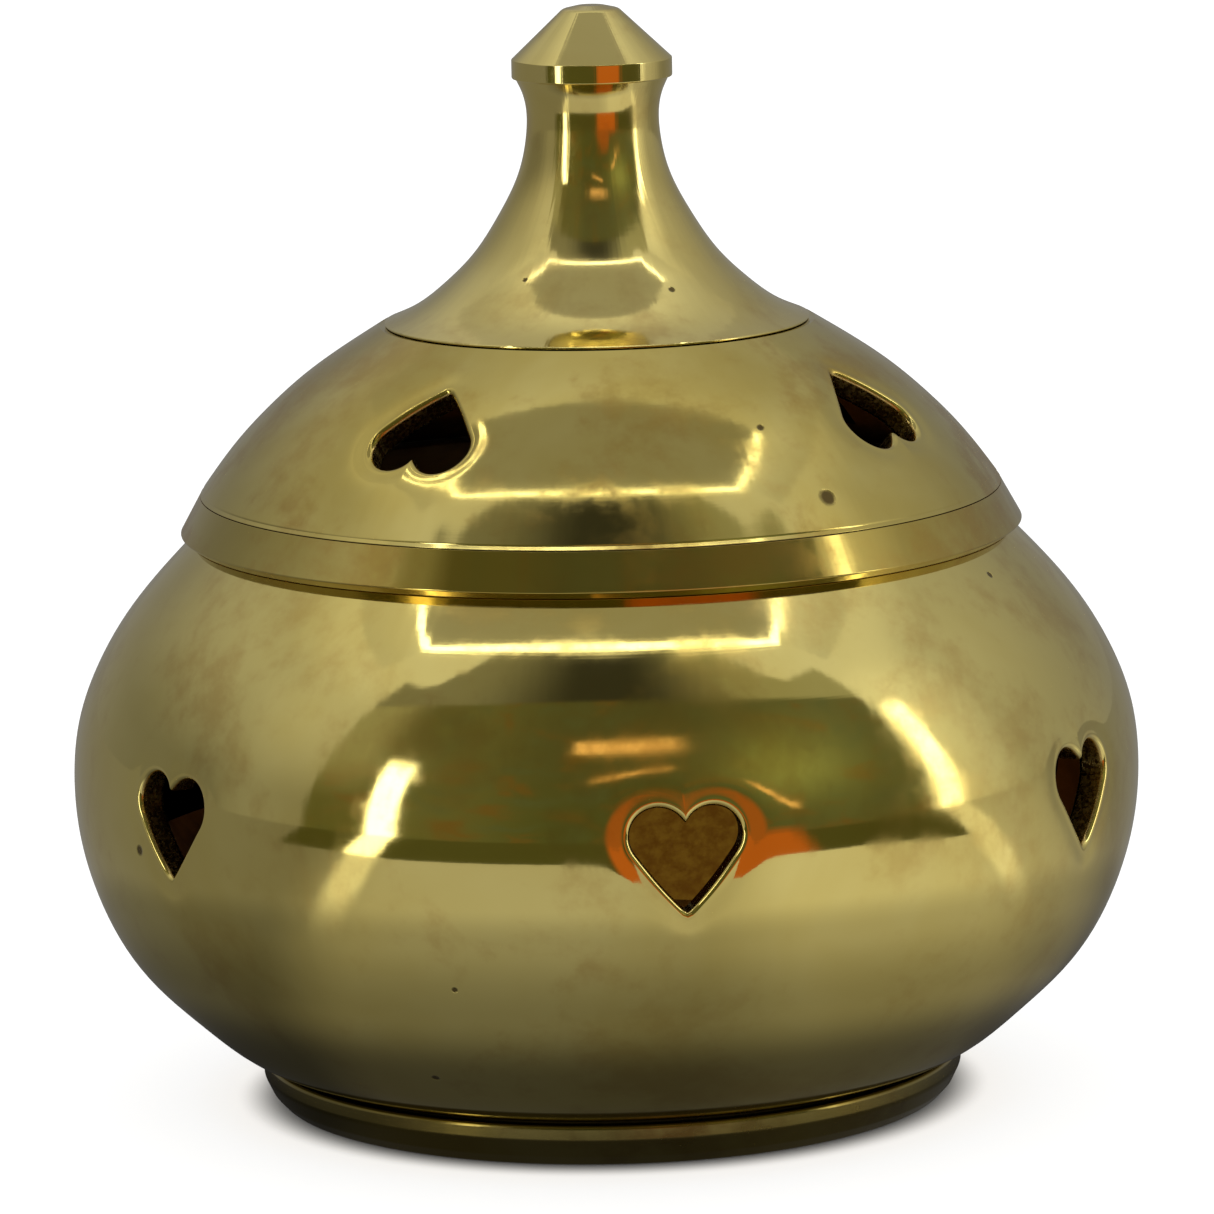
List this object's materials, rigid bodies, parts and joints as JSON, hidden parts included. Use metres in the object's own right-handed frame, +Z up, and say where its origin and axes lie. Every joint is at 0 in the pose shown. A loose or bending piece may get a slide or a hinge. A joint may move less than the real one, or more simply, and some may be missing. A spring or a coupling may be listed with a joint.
{
  "type": "incense burner",
  "caption": "Round turned brass incense burner with heart-shaped piercings, a foot ring, a lift-off domed lid with a tall finial and a loose perforated grate inside.",
  "frame": {"origin": "centre of the face that the foot ring stands on", "axes": "+Z up along the turning axis; -Y is the front, where one bowl heart sits a little to the right of the middle"},
  "size_m": [0.0768, 0.0768, 0.0786],
  "materials": {
    "bowl_brass": "polished, faint lathe lines, light patina",
    "foot_brass": "polished, lathe lines",
    "lid_brass": "polished, faint lathe lines, patina spots",
    "rim_brass": "polished",
    "finial_brass": "polished",
    "fixing_brass": "plain turned",
    "grate_brass": "dull, heat-browned"
  },
  "bodies": {
    "burner_base": {"bowl": "bowl_brass", "foot_ring": "foot_brass"},
    "lid": {"lid_rim": "rim_brass", "lid_dome": "lid_brass", "finial": "finial_brass", "finial_stud": "fixing_brass", "finial_washer": "fixing_brass", "finial_nut": "fixing_brass"},
    "grate": {"grate_plate": "grate_brass", "grate_foot_1": "grate_brass", "grate_foot_2": "grate_brass", "grate_foot_3": "grate_brass"}
  },
  "joints": [
    {"name": "lid_lift", "type": "slide", "parent": "burner_base", "child": "lid", "axis": [0, 0, 1], "range_m": [0, 0.08]},
    {"name": "grate_lift", "type": "slide", "parent": "burner_base", "child": "grate", "axis": [0, 0, 1], "range_m": [0, 0.04]}
  ],
  "couplings": [
    {"joint": "grate_lift", "follows": "lid_lift", "ratio": 0.5}
  ]
}
